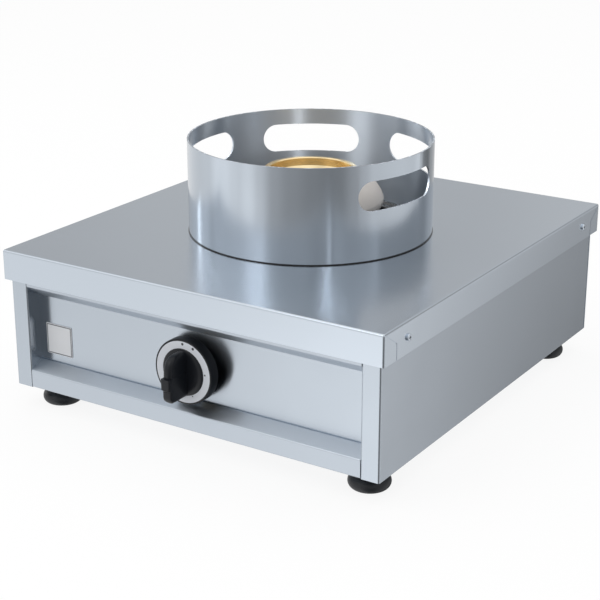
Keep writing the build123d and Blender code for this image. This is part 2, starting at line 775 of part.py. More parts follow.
# --- gas tap --------------------------------------------------------------------------------
tap_axis = Axis((0, 0, knob_z), (0, 1, 0))
tap_section = facing_right(0, 0, knob_z)        # x is Y, y is the radius
tap_front = panel_face + body_sheet
ear_offset = pipe_radius + clamp_sheet + clamp_ear / 2
with BuildPart() as gas_tap_body:
    with BuildSketch(facing_front(0, tap_rear, knob_z)):
        RectangleRounded(tap_width, tap_height, tap_edge)
    extrude(amount=tap_length)
    with BuildSketch(facing_front(0, tap_front, knob_z)):
        Circle(tap_nose_radius)
    extrude(amount=tap_nose_length)
    # guide bore, collar chamber and tapered seat of the plug
    add(turned(tap_section,
               [(nose_end, 0), (nose_end, spindle_radius + running_fit),
                (nose_end + tap_nose_wall, spindle_radius + running_fit),
                (nose_end + tap_nose_wall, collar_radius + seat_gap),
                (plug_front - seat_gap, collar_radius + seat_gap),
                (plug_front - seat_gap, plug_radius + running_fit),
                (plug_front, plug_radius + running_fit),
                (plug_rear, plug_end_radius + running_fit),
                (plug_rear + seat_gap, plug_end_radius + running_fit), (plug_rear + seat_gap, 0)],
               tap_axis), mode=Mode.SUBTRACT)
    with BuildSketch(facing_front(0, tap_rear, mixer_z)):
        Circle(feed_radius / 2)
    extrude(amount=(tap_rear - plug_rear) / 2, mode=Mode.SUBTRACT)
    with BuildSketch(Plane((0, rail_y, knob_z - tap_height / 2))):
        for end in (-1, 1):
            with Locations((0, end * ear_offset)):
                Circle(screw_radius + screw_fit)
    extrude(amount=clamp_screw_length, mode=Mode.SUBTRACT)
save(gas_tap_body.part, "gas_tap_body")


def spindle_shape(clearance):
    """Round spindle section with one flat, on its own centre."""
    with BuildSketch() as section:
        Circle(spindle_radius + clearance)
        with Locations((0, spindle_radius - spindle_flat + clearance)):
            Rectangle(4 * spindle_radius, 2 * spindle_radius, align=(Align.CENTER, Align.MIN),
                      mode=Mode.SUBTRACT)
    return section.sketch


spindle_start = knob_y - spindle_in_grip
spindle_end = plug_front + spindle_in_plug
with BuildPart() as tap_spindle:
    with BuildSketch(facing_front(0, spindle_end, knob_z)):
        add(spindle_shape(0))
    extrude(amount=spindle_in_plug + push_travel)
    with BuildSketch(facing_front(0, plug_front - push_travel, knob_z)):
        Circle(spindle_radius)
    extrude(amount=plug_front - push_travel - knob_y)
    with BuildSketch(facing_front(0, knob_y, knob_z)):
        add(spindle_shape(0))
    extrude(amount=spindle_in_grip)
save(tap_spindle.part, "tap_spindle")

tap_collar = turned(tap_section,
                    [(collar_front, spindle_radius + running_fit), (collar_front, collar_radius),
                     (collar_front + collar_length, collar_radius),
                     (collar_front + collar_length, spindle_radius + running_fit)], tap_axis)
save(tap_collar, "tap_collar")

with BuildPart() as tap_plug:
    add(turned(tap_section,
               [(plug_front, 0), (plug_front, plug_radius), (plug_rear, plug_end_radius), (plug_rear, 0)],
               tap_axis))
    with BuildSketch(facing_front(0, plug_front + plug_socket, knob_z)):
        add(spindle_shape(seat_gap))
    extrude(amount=plug_socket, mode=Mode.SUBTRACT)
    with BuildSketch(facing_right(0, (plug_front + plug_socket + plug_rear) / 2, knob_z)):
        Circle(plug_gas_way)
    extrude(amount=2 * plug_radius, both=True, mode=Mode.SUBTRACT)
save(tap_plug.part, "tap_plug")

# --- knob -----------------------------------------------------------------------------------
# lower block of the grip: flat front end, rounded foot, top falling back to the dial
with BuildPart() as grip_block:
    with BuildSketch(facing_right(0, knob_y, knob_z)):
        with BuildLine():
            FilletPolyline((grip_root, -grip_foot), (grip_setback - grip_reach, -grip_foot),
                           (grip_setback - grip_reach, -grip_end - grip_setback),
                           (-grip_reach, -grip_end), (-grip_reach, grip_step), (grip_root, -grip_fall),
                           radius=(grip_foot_round, grip_round, grip_round, grip_round))
            Line((grip_root, -grip_fall), (grip_root, -grip_foot))
        make_face()
    extrude(amount=grip_width / 2, both=True)
    fillet(grip_block.faces().filter_by(Axis.X).edges(), radius=grip_edge)

# upper fin of the grip, bowed back to the dial, with rounded edges
with BuildPart() as grip_fin:
    with BuildSketch(facing_right(0, knob_y, knob_z)):
        with BuildLine():
            ThreePointArc((-fin_foot, 0), (-fin_knee[0], fin_knee[1]), (-fin_toe[0], fin_toe[1]))
            Polyline((-fin_toe[0], fin_toe[1]), (grip_root, fin_toe[1]), (grip_root, -grip_fall),
                     (-fin_foot, 0))
        make_face()
    extrude(amount=fin_width / 2, both=True)
    fillet(grip_fin.edges().filter_by(GeomType.CIRCLE), radius=fin_round)

hub_end = nose_end - push_travel - knob_hub_clearance
with BuildPart() as knob:
    with BuildSketch(facing_front(0, knob_y + knob_skirt, knob_z)):
        Circle(knob_radius)
    extrude(amount=knob_skirt)
    chamfer(knob.faces().sort_by(Axis.Y)[0].edges(), length=knob_edge)
    with BuildSketch(facing_front(0, knob_y + knob_skirt, knob_z)):
        Circle(knob_radius - knob_wall)
    extrude(amount=knob_skirt - knob_wall, mode=Mode.SUBTRACT)
    with BuildSketch(facing_front(0, hub_end, knob_z)):
        Circle(knob_hub_radius)
    extrude(amount=hub_end - knob_y)
    # dome inside the dial ring
    with BuildSketch(facing_front(0, knob_y, knob_z)):
        Circle(dial_inner)
    with BuildSketch(facing_front(0, knob_y - dome_height, knob_z)):
        Circle(dial_inner - dome_slope)
    loft()
    add(grip_block.part)
    add(grip_fin.part)
    # seat of the dial ring, which runs on under the grip's lower end
    with BuildSketch(facing_front(0, knob_y, knob_z)):
        Circle(dial_outer)
        Circle(dial_inner, mode=Mode.SUBTRACT)
    extrude(amount=-dial_sheet, mode=Mode.SUBTRACT)
    with BuildSketch(facing_front(0, hub_end, knob_z)):
        add(spindle_shape(0))
    extrude(amount=hub_end - spindle_start, mode=Mode.SUBTRACT)
    with BuildSketch(facing_front(0, hub_end, knob_z)):
        Circle(spindle_radius)
    extrude(amount=hub_end - knob_y, mode=Mode.SUBTRACT)
save(knob.part, "knob")

with BuildPart() as dial_ring:
    with BuildSketch(facing_front(0, knob_y + dial_sheet, knob_z)):
        Circle(dial_outer)
        Circle(dial_inner, mode=Mode.SUBTRACT)
    extrude(amount=dial_sheet)
save(dial_ring.part, "dial_ring")

# --- gas supply -----------------------------------------------------------------------------
inlet_start = rear_face - inlet_inner_length
rail_route = [(rail_end, rail_y, rail_z), (inlet_x, rail_y, rail_z), (inlet_x, inlet_start, rail_z)]
gas_rail = bent_tube(rail_route, pipe_radius, pipe_bore, pipe_bend)
save(gas_rail, "gas_rail")

with BuildPart() as rail_plug:
    with BuildSketch(facing_right(rail_end, rail_y, rail_z)):
        RegularPolygon(rail_plug_flats / 2, 6, major_radius=False)
    extrude(amount=rail_plug_length)
save(rail_plug.part, "rail_plug")

# strap under the rail, with an ear each side screwed up into the tap
with BuildPart() as rail_clamp:
    with BuildSketch(facing_right(0, rail_y, rail_z)):
        Circle(pipe_radius + clamp_sheet)
        Rectangle(2 * (pipe_radius + clamp_sheet), pipe_radius, align=(Align.CENTER, Align.MIN))
        with Locations((0, pipe_radius)):
            Rectangle(2 * (pipe_radius + clamp_sheet + clamp_ear), clamp_sheet,
                      align=(Align.CENTER, Align.MAX))
        with Locations((0, pipe_radius)):
            Rectangle(4 * pipe_radius, 2 * pipe_radius, align=(Align.CENTER, Align.MIN), mode=Mode.SUBTRACT)
        Circle(pipe_radius, mode=Mode.SUBTRACT)
        Rectangle(2 * pipe_radius, pipe_radius, align=(Align.CENTER, Align.MIN), mode=Mode.SUBTRACT)
    extrude(amount=clamp_width / 2, both=True)
    with BuildSketch(Plane((0, rail_y, rail_z + pipe_radius))):
        for end in (-1, 1):
            with Locations((0, end * ear_offset)):
                Circle(screw_radius + screw_fit)
    extrude(amount=-clamp_sheet, mode=Mode.SUBTRACT)
save(rail_clamp.part, "rail_clamp")

with BuildPart() as clamp_screws:
    for end in (-1, 1):
        seat = Plane(origin=(0, rail_y + end * ear_offset, rail_z + pipe_radius - clamp_sheet),
                     z_dir=(0, 0, -1))
        add(pan_head_screw(seat, clamp_screw_length))
save(clamp_screws.part, "clamp_screws")

with BuildPart() as gas_inlet:
    with BuildSketch(Plane(origin=(inlet_x, inlet_start, rail_z), z_dir=(0, 1, 0))):
        Circle(inlet_radius)
    extrude(amount=inlet_end - inlet_start)
    chamfer(gas_inlet.faces().sort_by(Axis.Y)[-1].edges(), length=thread_chamfer)
    with BuildSketch(Plane(origin=(inlet_x, rear_face, rail_z), z_dir=(0, 1, 0))):
        RegularPolygon(inlet_flats / 2, 6, major_radius=False)
    extrude(amount=inlet_flange)
    with BuildSketch(Plane(origin=(inlet_x, inlet_start, rail_z), z_dir=(0, 1, 0))):
        Circle(inlet_bore)
    extrude(amount=inlet_end - inlet_start, mode=Mode.SUBTRACT)
save(gas_inlet.part, "gas_inlet")

locknut_seat = Plane(origin=(inlet_x, rear_face - body_sheet, rail_z), z_dir=(0, -1, 0))
inlet_locknut = hex_ring(locknut_seat, inlet_flats, locknut_height, inlet_radius + running_fit)
save(inlet_locknut, "inlet_locknut")

# --- pilot and thermocouple, on a strip screwed down with the burner flange ------------------
strip_bottom = flange_z + flange_thickness
strip_top = strip_bottom + pilot_sheet
with BuildPart() as pilot_bracket:
    strip_middle = (neck_radius + neck_fit + pilot_strip_end) / 2
    strip_length = pilot_strip_end - neck_radius - neck_fit
    with BuildSketch(Plane((0, burner_y, strip_bottom))):
        with PolarLocations(strip_middle, 1, start_angle=strip_angle):
            Rectangle(strip_length, pilot_strip_width)
        Circle(neck_radius + neck_fit, mode=Mode.SUBTRACT)
    extrude(amount=pilot_sheet)
save(pilot_bracket.part, "pilot_bracket")

with BuildPart() as pilot_burner:
    with BuildSketch(Plane(on_circle(pilot_circle, pilot_angle, strip_top))):
        Circle(pilot_radius)
    extrude(amount=hob + pilot_tip - strip_top)
    chamfer(pilot_burner.faces().sort_by(Axis.Z)[-1].edges(), length=pilot_radius / 3)
save(pilot_burner.part, "pilot_burner")

with BuildPart() as thermocouple:
    with BuildSketch(Plane(on_circle(pilot_circle, thermocouple_angle, strip_top))):
        Circle(thermocouple_radius)
    extrude(amount=hob + thermocouple_tip - strip_top)
    fillet(thermocouple.faces().sort_by(Axis.Z)[-1].edges(), radius=thermocouple_radius / 2)
save(thermocouple.part, "thermocouple")

for name, angle, drop, (back, rise) in (("pilot_tube", pilot_angle, pilot_tube_drop, pilot_port),
                                        ("thermocouple_lead", thermocouple_angle, lead_drop, lead_port)):
    x, y, z = on_circle(pilot_circle, angle, strip_bottom)
    run_z = hob - drop
    port_y = tap_rear - back
    port_z = knob_z + rise
    route = [(x, y, z), (x, y, run_z), (x, port_y, run_z), (x, port_y, port_z),
             (-tap_width / 2, port_y, port_z)]
    save(bent_tube(route, tube_radius, 0, tube_bend), name)
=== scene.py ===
import json
from math import cos, pi, radians, sin, tau

import bmesh
import bpy
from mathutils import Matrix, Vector


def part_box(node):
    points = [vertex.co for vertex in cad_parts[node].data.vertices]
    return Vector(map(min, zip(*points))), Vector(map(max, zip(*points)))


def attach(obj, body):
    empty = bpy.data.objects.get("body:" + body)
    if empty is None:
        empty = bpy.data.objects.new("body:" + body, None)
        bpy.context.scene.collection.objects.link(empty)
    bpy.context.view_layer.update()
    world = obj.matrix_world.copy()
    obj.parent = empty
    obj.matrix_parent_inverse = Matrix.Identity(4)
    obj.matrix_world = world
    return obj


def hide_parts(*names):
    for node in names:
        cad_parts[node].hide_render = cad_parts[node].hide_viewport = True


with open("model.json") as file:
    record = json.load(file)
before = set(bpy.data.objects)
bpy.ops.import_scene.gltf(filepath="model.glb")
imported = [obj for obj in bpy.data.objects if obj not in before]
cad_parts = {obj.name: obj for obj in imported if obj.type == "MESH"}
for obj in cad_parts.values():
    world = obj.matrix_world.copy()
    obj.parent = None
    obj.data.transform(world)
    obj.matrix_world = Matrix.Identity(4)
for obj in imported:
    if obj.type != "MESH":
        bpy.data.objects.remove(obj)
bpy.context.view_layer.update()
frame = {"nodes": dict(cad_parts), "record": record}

# Looks of the table-top gas wok range. Metres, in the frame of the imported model: +Z is up and
# the control panel faces -Y.

nodes = frame["nodes"]

# --- camera -------------------------------------------------------------------------------------
camera_place = Vector((0.9393, -1.4992, 0.7385))
camera_turn = 32.634        # degrees to the right of the front
camera_pitch = 19.918       # degrees down
camera_lens = 93.08         # millimetres
camera_sensor = 36.0
camera_reach = 50.0


def make_camera():
    data = bpy.data.cameras.new("camera")
    data.lens = camera_lens
    data.sensor_width = camera_sensor
    data.clip_end = camera_reach
    camera = bpy.data.objects.new("camera", data)
    camera.location = camera_place
    camera.rotation_euler = (radians(90.0 - camera_pitch), 0.0, radians(camera_turn))
    bpy.context.scene.collection.objects.link(camera)
    bpy.context.scene.camera = camera


# --- node trees ---------------------------------------------------------------------------------
noise_span = 0.3, 0.7       # most of a noise's values lie between these


def add_node(tree, kind, inputs=(), **settings):
    """New node; settings are its properties, inputs the values or links of its sockets."""
    made = tree.nodes.new(kind)
    for name, value in settings.items():
        setattr(made, name, value)
    for name, value in dict(inputs).items():
        socket = made.inputs[name]
        if isinstance(value, bpy.types.NodeSocket):
            tree.links.new(value, socket)
        else:
            socket.default_value = value
    return made


def calculate(tree, operation, *values):
    """Output of a Math node."""
    return add_node(tree, "ShaderNodeMath", dict(enumerate(values)), operation=operation).outputs[0]


def vector_math(tree, operation, first, second):
    return add_node(tree, "ShaderNodeVectorMath", {0: first, 1: second}, operation=operation).outputs


def rescale(tree, value, low, high, start=0.0, end=1.0):
    """Output of a Map Range node that takes start..end to low..high."""
    made = add_node(tree, "ShaderNodeMapRange", {"Value": value, "From Min": start, "From Max": end,
                                                 "To Min": low, "To Max": high})
    return made.outputs["Result"]


def grey(tone):
    return (tone, tone, tone, 1.0)


def blend(tree, factor, low, high):
    """Output of a Mix node between two colours, each a link or four channels."""
    made = add_node(tree, "ShaderNodeMix", {"Factor": factor}, data_type="RGBA")
    for name, colour in (("A", low), ("B", high)):
        if isinstance(colour, bpy.types.NodeSocket):
            tree.links.new(colour, made.inputs[name])
        else:
            made.inputs[name].default_value = colour
    return made.outputs["Result"]


def shade(colour, factor):
    return tuple(min(1.0, channel * factor) for channel in colour)


def noise(tree, position, scale, detail=2.0, roughness=0.5):
    made = add_node(tree, "ShaderNodeTexNoise", {"Vector": position, "Scale": scale, "Detail": detail,
                                                 "Roughness": roughness})
    return made.outputs["Fac"]


def object_place(tree):
    return add_node(tree, "ShaderNodeTexCoord").outputs["Object"]


def new_material(name):
    """Material and the tree and Principled shader in it."""
    material = bpy.data.materials.new(name)
    material.use_nodes = True
    tree = material.node_tree
    return material, tree, tree.nodes["Principled BSDF"]


def dress(tree, surface, factor, low, high, rough, bump):
    """Colour between low and high by the factor, roughness, and bump: strength, depth and pattern."""
    strength, depth, pattern = bump
    tree.links.new(blend(tree, factor, (*low, 1.0), (*high, 1.0)), surface.inputs["Base Color"])
    tree.links.new(rough, surface.inputs["Roughness"])
    bumps = add_node(tree, "ShaderNodeBump", {"Strength": strength, "Distance": depth, "Height": pattern})
    tree.links.new(bumps.outputs[0], surface.inputs["Normal"])


# --- materials ----------------------------------------------------------------------------------
level_facing = 0.7          # a surface whose normal rises more than this counts as a flat top
fine_grain = 6.0, 2600.0    # scale of the noise along the grain and across it
broad_grain = 2.0, 260.0
fine_share = 0.8            # of the fine grain in the streaks; the broad one has the rest
fine_noise = 3.0, 0.6       # detail and roughness of the noise in a fine grain or texture
streak_colour = 0.008       # how far the streaks change the colour
streak_gloss = 0.008        # and the roughness
streak_bump = 0.0008, 0.0002    # strength and depth
smudge = 9.0, 3.0, 0.55     # scale, detail and roughness of the noise
smudge_gloss = -0.01, 0.02
smudge_span = 0.35, 0.65
tarnish_patch = 24.0, 3.0, 0.5
tarnish_span = 0.35, 0.7
tarnish_gloss = -0.06, 0.12
paint_patch = 14.0, 4.0, 0.6
gloss_spread = 0.05
turned_texture = 1800.0
turned_bump = 0.05
screw_texture = 900.0
screw_bump = 0.1
texture_depth = 0.0001
screw_head = 0.0038         # radius of an apron screw's head
cross_half = 0.0006         # half the width of an arm of the painted recess
cross_reach = 0.0021
# painted shade of the screws' cross recess, as a share of the head's colour
painted_recess_shade = 0.06


def grain_position(tree, along, across):
    """Coordinates in which noise makes level streaks: round a wall, and along X on a flat top."""
    coords = add_node(tree, "ShaderNodeTexCoord")
    place = add_node(tree, "ShaderNodeSeparateXYZ", {0: coords.outputs["Object"]})
    facing = add_node(tree, "ShaderNodeSeparateXYZ", {0: coords.outputs["Normal"]})
    rise = calculate(tree, "ABSOLUTE", facing.outputs["Z"])
    level = calculate(tree, "GREATER_THAN", rise, level_facing)
    y_scale = rescale(tree, level, along, across)
    squeezed = add_node(tree, "ShaderNodeCombineXYZ", {
        "X": calculate(tree, "MULTIPLY", place.outputs["X"], along),
        "Y": calculate(tree, "MULTIPLY", place.outputs["Y"], y_scale),
        "Z": calculate(tree, "MULTIPLY", place.outputs["Z"], across)})
    # highlights stretch across the grain: up a wall, and along Y on a flat top
    stretch = add_node(tree, "ShaderNodeCombineXYZ", {
        "X": 0.0, "Y": level, "Z": calculate(tree, "SUBTRACT", 1.0, level)})
    return squeezed.outputs[0], stretch.outputs[0], coords.outputs["Object"]


def faces_axis(tree):
    """1 where a surface faces the ring's axis, and 0 elsewhere."""
    low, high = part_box("wok_ring")
    centre = (low + high) / 2
    coords = add_node(tree, "ShaderNodeTexCoord")
    spoke = vector_math(tree, "SUBTRACT", coords.outputs["Object"], (centre.x, centre.y, 0.0))[0]
    level = vector_math(tree, "MULTIPLY", spoke, (1.0, 1.0, 0.0))[0]
    outward = vector_math(tree, "DOT_PRODUCT", level, coords.outputs["Normal"])["Value"]
    return calculate(tree, "LESS_THAN", outward, 0.0)


def brushed_metal(name, colour, roughness, anisotropy, inside=0.0):
    """Brushed sheet: fine level grain, streaks of a few millimetres, and faint smudges.

    inside is what a rolled ring's inner face adds to the roughness.
    """
    material, tree, surface = new_material(name)
    fine_place, stretch, place = grain_position(tree, *fine_grain)
    broad_place = grain_position(tree, *broad_grain)[0]
    fine = noise(tree, fine_place, 1.0, *fine_noise)
    broad = noise(tree, broad_place, 1.0)
    streaks = calculate(tree, "ADD", calculate(tree, "MULTIPLY", fine, fine_share),
                        calculate(tree, "MULTIPLY", broad, 1.0 - fine_share))
    rough = calculate(
        tree, "ADD",
        rescale(tree, streaks, roughness - streak_gloss, roughness + streak_gloss, *noise_span),
        rescale(tree, noise(tree, place, *smudge), *smudge_gloss, *smudge_span))
    if inside:
        rough = calculate(tree, "ADD", rough, calculate(tree, "MULTIPLY", faces_axis(tree), inside))
    surface.inputs["Metallic"].default_value = 1.0
    surface.inputs["Anisotropic"].default_value = anisotropy
    tree.links.new(stretch, surface.inputs["Tangent"])
    dress(tree, surface, streaks, shade(colour, 1.0 - streak_colour), shade(colour, 1.0 + streak_colour),
          rough, (*streak_bump, streaks))
    return material


def plain_surface(name, colour, roughness, spread=0.06, texture=1500.0, bump=0.15,
                  depth=texture_depth, coat=0.0, shine=0.5):
    """Moulded, cast or painted surface: fine texture in the bump, patches in colour and gloss."""
    material, tree, surface = new_material(name)
    place = object_place(tree)
    fine = noise(tree, place, texture, *fine_noise)
    patch = noise(tree, place, *paint_patch)
    surface.inputs["Coat Weight"].default_value = coat
    surface.inputs["Specular IOR Level"].default_value = shine
    rough = rescale(tree, patch, roughness - gloss_spread, roughness + gloss_spread, *noise_span)
    dress(tree, surface, patch, shade(colour, 1.0 - spread), shade(colour, 1.0 + spread), rough,
          (bump, depth, fine))
    return material


def turned_metal(name, colour, roughness, tarnish):
    """Machined metal: a fine grain in the bump, and patches of tarnish."""
    material, tree, surface = new_material(name)
    place = object_place(tree)
    fine = noise(tree, place, turned_texture, *fine_noise)
    patch = noise(tree, place, *tarnish_patch)
    surface.inputs["Metallic"].default_value = 1.0
    low, high = (roughness + change for change in tarnish_gloss)
    dress(tree, surface, rescale(tree, patch, 0.0, 1.0, *tarnish_span), colour, tarnish,
          rescale(tree, patch, low, high, *noise_span), (turned_bump, texture_depth, fine))
    return material


def painted_recess_mask(tree):
    """1 where painted shade stands for a cross recess in each apron screw's head, and 0 elsewhere."""
    low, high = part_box("apron_screws")
    middle = (low + high) / 2
    row = (high.y - low.y) / 2 - screw_head     # from the middle to either row of screws
    place = add_node(tree, "ShaderNodeSeparateXYZ", {0: object_place(tree)})

    def distance(value, start):
        return calculate(tree, "ABSOLUTE", calculate(tree, "SUBTRACT", value, start))

    sideways = distance(distance(place.outputs["Y"], middle.y), row)
    upright = distance(place.outputs["Z"], middle.z)
    narrow = calculate(tree, "LESS_THAN", calculate(tree, "MINIMUM", sideways, upright), cross_half)
    short = calculate(tree, "LESS_THAN", calculate(tree, "MAXIMUM", sideways, upright), cross_reach)
    return calculate(tree, "MULTIPLY", narrow, short)


def screw_metal(name, colour, roughness):
    """Bright screw with painted shade for a cross recess in its head."""
    material, tree, surface = new_material(name)
    fine = noise(tree, object_place(tree), screw_texture, *fine_noise)
    surface.inputs["Metallic"].default_value = 1.0
    rough = rescale(tree, fine, roughness - gloss_spread, roughness + gloss_spread, *noise_span)
    dress(tree, surface, painted_recess_mask(tree), colour, shade(colour, painted_recess_shade), rough,
          (screw_bump, texture_depth, fine))
    return material


steel = (0.56, 0.615, 0.68)
finishes = {                # by the material slots of the CAD nodes
    "plate_steel": brushed_metal("plate_steel", steel, 0.22, 0.4),
    # darker than the top plate: partly its own sheet's tone, partly painted shade under the apron
    "housing_steel": brushed_metal("housing_steel", shade(steel, 0.88), 0.24, 0.85),
    "ring_steel": brushed_metal("ring_steel", shade(steel, 0.96), 0.13, 0.98, inside=0.19),
    "fastener_steel": brushed_metal("fastener_steel", shade(steel, 0.9), 0.3, 0.0),
    "pipe_steel": brushed_metal("pipe_steel", shade(steel, 0.8), 0.35, 0.0),
    "crown_brass": turned_metal("crown_brass", (0.86, 0.70, 0.42), 0.2, (0.80, 0.62, 0.35)),
    "fitting_brass": turned_metal("fitting_brass", (0.70, 0.52, 0.26), 0.28, (0.50, 0.34, 0.16)),
    "pilot_copper": turned_metal("pilot_copper", (0.75, 0.38, 0.22), 0.3, (0.45, 0.2, 0.12)),
    "cast_grey": plain_surface("cast_grey", (0.64, 0.60, 0.565), 0.5,
                               texture=700.0, bump=0.35, depth=0.0003),
    "black_enamel": plain_surface("black_enamel", (0.022, 0.023, 0.026), 0.22,
                                  texture=400.0, bump=0.1, coat=0.4),
    "knob_black": plain_surface("knob_black", (0.008, 0.0095, 0.013), 0.34,
                                texture=2500.0, bump=0.12, shine=0.28),
    "dial_white": plain_surface("dial_white", (0.70, 0.73, 0.78), 0.45, spread=0.03, bump=0.05),
    "badge_white": plain_surface("badge_white", (0.76, 0.775, 0.80), 0.35, spread=0.03, bump=0.05),
    "foot_black": plain_surface("foot_black", (0.02, 0.023, 0.028), 0.42,
                                texture=1200.0, bump=0.25, shine=0.4),
}
satin = brushed_metal("satin_steel", shade(steel, 0.93), 0.36, 0.7)
special_finishes = {        # by the names of the CAD nodes
    "front_upper_rail": satin,
    "front_lower_rail": satin,
    "apron_screws": screw_metal("screw_steel", shade(steel, 1.3), 0.32),
}


def finish_cad_nodes():
    for part in frame["record"]["subparts"]:
        finish = special_finishes.get(part["node"]) or finishes[part["material_slot"]]
        slots = nodes[part["node"]].data.materials
        if slots:
            slots[0] = finish
        else:
            slots.append(finish)


# --- meshes -------------------------------------------------------------------------------------
def new_object(name, shapes, material):
    """Object made from a bmesh, with its material, in the scene."""
    mesh = bpy.data.meshes.new(name)
    shapes.to_mesh(mesh)
    shapes.free()
    mesh.materials.append(material)
    made = bpy.data.objects.new(name, mesh)
    bpy.context.scene.collection.objects.link(made)
    return made


def new_piece(name, shapes, material, body):
    """Such an object with its faces turned outwards, riding on its body."""
    bmesh.ops.recalc_face_normals(shapes, faces=shapes.faces)
    piece = new_object(name, shapes, material)
    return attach(piece, body)


def band(shapes, near, far):
    """Faces between two loops of vertices."""
    for step in range(len(near)):
        after = (step + 1) % len(near)
        shapes.faces.new((near[step], near[after], far[after], far[step]))


def skin(shapes, loops):
    """Closed form over a row of loops, with a face over each end."""
    for near, far in zip(loops, loops[1:]):
        band(shapes, near, far)
    shapes.faces.new(loops[0])
    shapes.faces.new(loops[-1])


# --- knob ---------------------------------------------------------------------------------------
# Dome and grip stand ahead of the dial's face, and the skirt lies behind it. The grip's heights are
# from the knob's axis, and its reaches from the dial's face.
knob_sides = 96
smooth_angle = 32.0         # degrees; sharper edges stay sharp
merge_distance = 1e-7
dome_height = 0.0016
dome_flat = 0.0205          # radius of the dome's flat middle
dome_shoulder = (0.0028, 0.8), (0.0008, 0.3)    # distance from the rim, and share of the height
dial_hole = 0.027
skirt_depth = 0.0125
skirt_wall = 0.0025
skirt_edge = 0.0009
edge_middle = 0.3           # share of the edge at which it is broken once more
hub_radius = 0.009
hub_gap = 0.005             # hub to the tap's nose: the 4 mm push and 1 mm clearance
spindle_hole = 0.004
grip_back = 0.0001          # the grip starts just ahead of the dial's face
block_steps = 28
block_half = 0.0059         # half the width of the grip's lower block
block_reach = 0.0297
block_foot = -0.0282
block_start = 0.0001        # lowest section, above the very end of the foot
block_front = 0.0022, 3.0   # depth of the rounded front and its fullness: 2 is an ellipse
foot_round = 0.0085
nose_reach = 0.0327         # flat front end, which stands ahead of the block
nose_top = 0.002
nose_bottom = -0.0105
nose_slope = 0.0026
nose_front = 0.0016, 4.0
fin_half = 0.0056
fin_start = 0.0002          # first section of the fin, above the nose
fin_reach = 0.0300
fin_back = 0.0075           # reach at the fin's very top
fin_top = 0.0255
fin_curve = 2.7             # fullness of its outline from the side
fin_taper = 7, 3.0          # and from the front
fin_front = 0.0052, 2.3
front_steps = 24


def knob_profile():
    """Radius and depth of the knob's turned part, from the dome round the skirt to the spindle."""
    ring_low, ring_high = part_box("dial_ring")
    knob_low, knob_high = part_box("knob")
    face = ring_low.y
    seat = ring_high.y
    outer = (ring_high.x - ring_low.x) / 2
    radius = (knob_high.x - knob_low.x) / 2
    edge = skirt_edge * edge_middle
    wall = face + skirt_wall
    skirt_back = face + skirt_depth
    hub_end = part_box("gas_tap_body")[0].y - hub_gap
    return (
        (dome_flat, face - dome_height),
        *((dial_hole - inset, face - dome_height * share) for inset, share in dome_shoulder),
        (dial_hole, face), (dial_hole, seat), (outer, seat), (outer, face),
        (radius - skirt_edge, face), (radius - edge, face + edge), (radius, face + skirt_edge),
        (radius, skirt_back), (radius - skirt_wall, skirt_back), (radius - skirt_wall, wall),
        (hub_radius, wall), (hub_radius, hub_end), (spindle_hole, hub_end), (spindle_hole, wall),
    )


def grip_heights():
    """Heights of the grip's sections: up the block, over the nose, and closer towards the fin's top."""
    slope_bottom = nose_bottom - nose_slope
    start = block_foot + block_start
    block = [start + (slope_bottom - block_foot) * step / block_steps for step in range(block_steps)]
    fin = [nose_top + (fin_top - nose_top) * sin(pi / 2 * step / block_steps)
           for step in range(2, block_steps)]
    return block + [slope_bottom, nose_bottom, nose_top, nose_top + fin_start] + fin


def grip_section(height):
    """Reach, half width, and the depth and fullness of the rounded front, at a height on the grip."""
    if height > nose_top:
        share = (height - nose_top) / (fin_top - nose_top)
        reach = fin_back + (fin_reach - fin_back) * (1.0 - share ** fin_curve) ** (1.0 / fin_curve)
        half = fin_half * (1.0 - share ** fin_taper[0]) ** (1.0 / fin_taper[1])
        return reach, half, *fin_front
    half = block_half
    low = height - block_foot
    if low < block_half:
        half = (block_half ** 2 - (block_half - low) ** 2) ** 0.5
    if height > nose_bottom:
        return nose_reach, half, *nose_front
    slope = max(0.0, 1.0 - (nose_bottom - height) / nose_slope)
    reach = block_reach + (nose_reach - block_reach) * slope
    if low < foot_round:
        reach -= foot_round - (foot_round ** 2 - (foot_round - low) ** 2) ** 0.5
    return reach, half, *block_front


def grip_outline(height):
    """Points of a section, seen from above: one back corner, round the front, the other corner."""
    reach, half, depth, fullness = grip_section(height)
    power = 2.0 / fullness
    points = [(half, -grip_back)]
    for step in range(front_steps + 1):
        turn = pi * step / front_steps
        side = 1 if cos(turn) > 0 else -1
        points.append((half * abs(cos(turn)) ** power * side, -(reach - depth + depth * sin(turn) ** power)))
    return points + [(-half, -grip_back)]


def make_knob():
    """Knob with a rounded grip, a full fin over a lower block, in place of the CAD's plainer one."""
    low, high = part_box("dial_ring")
    centre = (low + high) / 2
    shapes = bmesh.new()
    turns = [tau * step / knob_sides for step in range(knob_sides)]
    skin(shapes, [[shapes.verts.new((centre.x + radius * cos(turn), y, centre.z + radius * sin(turn)))
                   for turn in turns] for radius, y in knob_profile()])
    skin(shapes, [[shapes.verts.new((centre.x + x, low.y + y, centre.z + height))
                   for x, y in grip_outline(height)] for height in grip_heights()])
    bmesh.ops.remove_doubles(shapes, verts=shapes.verts, dist=merge_distance)
    piece = new_piece("knob_body", shapes, finishes["knob_black"], "knob")
    piece.data.shade_smooth()
    piece.data.set_sharp_from_angle(angle=radians(smooth_angle))
    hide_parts("knob")


# --- printed dial marks and the badge's border --------------------------------------------------
dial_marks = (              # degrees clockwise from the top, circle, radius of the dot
    (0.0, 0.0323, 0.0015),
    (25.0, 0.0326, 0.0015),
    (85.0, 0.0290, 0.0010),
    (155.0, 0.0285, 0.0008),
)
mark_height = 0.00006       # of the ink over the surface, and as far below it
mark_sides = 24
badge_line = 0.0012
badge_inset = 0.0006


